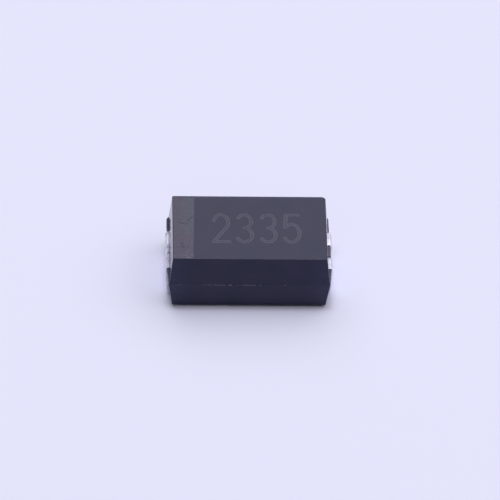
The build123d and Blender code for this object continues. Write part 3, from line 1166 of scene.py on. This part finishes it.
class CAPACITOR_OT_bend_terminals(bpy.types.Operator):
    """Cuts and bends both terminals from plated strip"""

    bl_idname = "capacitor.bend_terminals"
    bl_label = "Bend the Terminals"

    def execute(self, context):
        scene = context.scene
        terminal = scene.capacitor_terminal
        material = tin_material(scene.capacitor_finish)
        thickness = mm(terminal.thickness)
        radius = middle_radius(terminal)
        half_width = ANODE_HIGH.y
        lead_level = ANODE_HIGH.z - 0.5 * thickness
        foot_level = ANODE_LOW.z + 0.5 * thickness
        lean = terminal.lead_lean
        lead_end = CATHODE_HIGH.x - 0.5 * thickness + radius * (math.tan(lean) + 1 / math.cos(lean) - 1)
        foot_end = lead_end - (lead_level - foot_level) * math.tan(lean)
        foot_tip = CATHODE_HIGH.x - mm(terminal.foot_length)
        folded = [(lead_end, lead_level), (foot_end, foot_level), (foot_tip, foot_level)]
        case_end = CATHODE_HIGH.x - mm(terminal.lead_proud)

        tab_tip = WIRE_LOW.x + mm(terminal.weld_length)
        tab_root = -case_end + mm(terminal.weld_tab_root)
        half_tab = 0.5 * mm(terminal.weld_tab_width)
        narrow = tab_tip - tab_root
        anode = bent_blank(
            "anode_terminal_finish",
            [(tab_tip, lead_level)] + [(-x, z) for x, z in folded],
            [-half_width, -half_tab, 0.0, half_tab, half_width],
            lambda along, y: along > narrow or abs(y) < half_tab,
            (narrow,),
            terminal,
            material,
        )
        finish_piece(anode, "anode_terminal")

        cradle_level = ADHESIVE_LOW.z - 0.5 * thickness
        riser = ADHESIVE_HIGH.x + 0.5 * thickness
        cradle_tip = CATHODE_LOW.x
        corner_saving = 2 * radius - 0.5 * math.pi * radius
        to_lead = (riser - cradle_tip) + (lead_level - cradle_level) - 2 * corner_saving
        fork_start = to_lead + (case_end - mm(terminal.fork_root) - riser)
        down = ANODE_HIGH.z - mm(terminal.fork_depth)
        fold = math.radians(90) + lean
        fold_saving = 2 * radius * math.tan(fold / 2) - radius * fold
        fork_end = to_lead + (lead_end - riser) + (lead_level - down) / math.cos(lean) - fold_saving
        half_gap = 0.5 * mm(terminal.fork_gap)
        cathode = bent_blank(
            "cathode_terminal_finish",
            [(cradle_tip, cradle_level), (riser, cradle_level), (riser, lead_level)] + folded,
            [-half_width, -half_gap, half_gap, half_width],
            lambda along, y: not fork_start < along < fork_end or abs(y) > half_gap,
            (fork_start, fork_end),
            terminal,
            material,
        )
        finish_piece(cathode, "cathode_terminal")
        return {"FINISHED"}


# Grainy finishes of the sealed pieces: name, base and dark colour, metallic, roughness, grain and relief
POWDERS = {
    "insulating_washer": ("pressed_washer", (0.82, 0.82, 0.79), (0.70, 0.70, 0.68), 0.0, 0.45, 0.05, 0.002),
    "sintered_pellet": ("sintered_tantalum", (0.30, 0.29, 0.30), (0.10, 0.10, 0.11), 0.7, 0.62, 0.02, 0.008),
    "manganese_dioxide_coat": (
        "fired_dioxide", (0.030, 0.028, 0.028), (0.010, 0.010, 0.011), 0.0, 0.75, 0.03, 0.006,
    ),
    "graphite_coat": ("dipped_graphite", (0.085, 0.085, 0.09), (0.04, 0.04, 0.045), 0.2, 0.55, 0.04, 0.003),
    "silver_coat": ("silver_paint", (0.72, 0.70, 0.66), (0.48, 0.46, 0.43), 0.8, 0.5, 0.03, 0.004),
    "silver_adhesive": ("silver_adhesive", (0.58, 0.56, 0.52), (0.36, 0.34, 0.31), 0.6, 0.6, 0.03, 0.006),
}


class CAPACITOR_OT_finish_core(bpy.types.Operator):
    """Gives the sealed pieces inside the case their finishes"""

    bl_idname = "capacitor.finish_core"
    bl_label = "Finish the Sealed Pieces"

    def execute(self, context):
        finishes = {"tantalum_wire": wire_material()}
        finishes |= {node: powder_material(*look) for node, look in POWDERS.items()}
        for node, material in finishes.items():
            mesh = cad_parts[node].data
            mesh.materials.clear()
            mesh.materials.append(material)
        return {"FINISHED"}


# Width of the camera's sensor in millimetres and of its picture in pixels, and its range of sight in metres
SENSOR_WIDTH = 36.0
PICTURE_WIDTH = 500.0
SIGHT = (0.01, 10.0)


def camera_axes(stage):
    """The camera's right, up and backward directions."""
    back = Vector((
        math.sin(stage.azimuth) * math.cos(stage.elevation),
        -math.cos(stage.azimuth) * math.cos(stage.elevation),
        math.sin(stage.elevation),
    ))
    right = Vector((math.cos(stage.azimuth), math.sin(stage.azimuth), 0.0))
    up = back.cross(right)
    turned_right = right * math.cos(stage.roll) + up * math.sin(stage.roll)
    turned_up = up * math.cos(stage.roll) - right * math.sin(stage.roll)
    return turned_right, turned_up, back


def floor_material(stage):
    """A matt pale sheet."""
    material, _, shader = new_material("pale_floor")
    shader.inputs["Base Color"].default_value = (*stage.floor, 1.0)
    shader.inputs["Roughness"].default_value = 0.9
    shader.inputs["Specular IOR Level"].default_value = 0.1
    return material


def hang_lamp(name, place, size, power):
    """A rectangular lamp that faces the object."""
    data = bpy.data.lights.new(name, "AREA")
    data.shape = "RECTANGLE"
    data.size, data.size_y = size
    data.energy = power
    lamp = linked(name, data)
    lamp.location = place
    lamp.rotation_euler = Vector(place).to_track_quat("Z", "Y").to_euler()


def light_from_all_round(scene, stage):
    """A pale world that lights evenly, and that the camera and mirrors see as pale as the floor."""
    world = bpy.data.worlds.new("pale_surroundings")
    scene.world = world
    world.use_nodes = True
    world.node_tree.nodes.clear()
    nodes = Nodes(world.node_tree)
    rays = nodes.add("ShaderNodeLightPath")
    lit = nodes.add("ShaderNodeBackground", Color=(1.0, 1.0, 1.0, 1.0), Strength=stage.sky)
    seen = nodes.add("ShaderNodeBackground", Color=(*stage.floor, 1.0), Strength=1.0)
    direct = nodes.math("ADD", rays.outputs["Is Camera Ray"], rays.outputs["Is Glossy Ray"], clamp=True)
    shown = nodes.add("ShaderNodeMixShader", i0=direct, i1=lit, i2=seen)
    nodes.add("ShaderNodeOutputWorld", Surface=shown)


class CAPACITOR_OT_set_stage(bpy.types.Operator):
    """Lays the floor, hangs the lights and places the camera"""

    bl_idname = "capacitor.set_stage"
    bl_label = "Set the Stage"

    def execute(self, context):
        scene = context.scene
        stage = scene.capacitor_stage
        scene.view_settings.view_transform = "Standard"

        half = 0.5 * stage.floor_width
        floor = object_from(
            "floor",
            [(-half, -half, 0.0), (half, -half, 0.0), (half, half, 0.0), (-half, half, 0.0)],
            [(0, 1, 2, 3)],
            floor_material(stage),
        )
        light_from_all_round(scene, stage)
        hang_lamp("overhead_tube", stage.tube_place, stage.tube_size, stage.tube_power)
        hang_lamp("rear_window", stage.window_place, stage.window_size, stage.window_power)

        right, up, back = camera_axes(stage)
        camera_data = bpy.data.cameras.new("camera")
        camera_data.sensor_width = SENSOR_WIDTH
        camera_data.lens = SENSOR_WIDTH * stage.pixels_per_mm * mm(stage.distance) / PICTURE_WIDTH
        camera_data.clip_start, camera_data.clip_end = SIGHT
        camera = linked("camera", camera_data)
        turn = Matrix((right, up, back)).transposed().to_4x4()
        camera.matrix_world = Matrix.Translation(Vector(stage.target) + back * stage.distance) @ turn
        scene.camera = camera
        return {"FINISHED"}


class CAPACITOR_PT_panel(bpy.types.Panel):
    """Sizes, colours and steps of the capacitor"""

    bl_idname = "CAPACITOR_PT_panel"
    bl_label = "Tantalum Capacitor"
    bl_space_type = "VIEW_3D"
    bl_region_type = "UI"
    bl_category = "Capacitor"

    def draw(self, context):
        layout = self.layout
        for operator in OPERATORS:
            layout.operator(operator.bl_idname)
        for name in GROUPS:
            group = getattr(context.scene, name)
            box = layout.box()
            box.label(text=name.replace("_", " ").title())
            for key in group.__annotations__:
                box.prop(group, key)


GROUPS = {
    "capacitor_case": CaseSizes,
    "capacitor_marking": MarkingSizes,
    "capacitor_terminal": TerminalSizes,
    "capacitor_finish": FinishColours,
    "capacitor_stage": StageSettings,
}
OPERATORS = (
    CAPACITOR_OT_mould_case,
    CAPACITOR_OT_bend_terminals,
    CAPACITOR_OT_finish_core,
    CAPACITOR_OT_set_stage,
)


def register():
    for name, group in GROUPS.items():
        bpy.utils.register_class(group)
        setattr(bpy.types.Scene, name, PointerProperty(type=group))
    for operator in OPERATORS:
        bpy.utils.register_class(operator)
    bpy.utils.register_class(CAPACITOR_PT_panel)


def unregister():
    bpy.utils.unregister_class(CAPACITOR_PT_panel)
    for operator in reversed(OPERATORS):
        bpy.utils.unregister_class(operator)
    for name, group in reversed(GROUPS.items()):
        delattr(bpy.types.Scene, name)
        bpy.utils.unregister_class(group)


def main():
    """Builds the whole finish in order."""
    register()
    bpy.ops.capacitor.mould_case()
    bpy.ops.capacitor.bend_terminals()
    bpy.ops.capacitor.finish_core()
    bpy.ops.capacitor.set_stage()


if __name__ == "__main__":
    main()
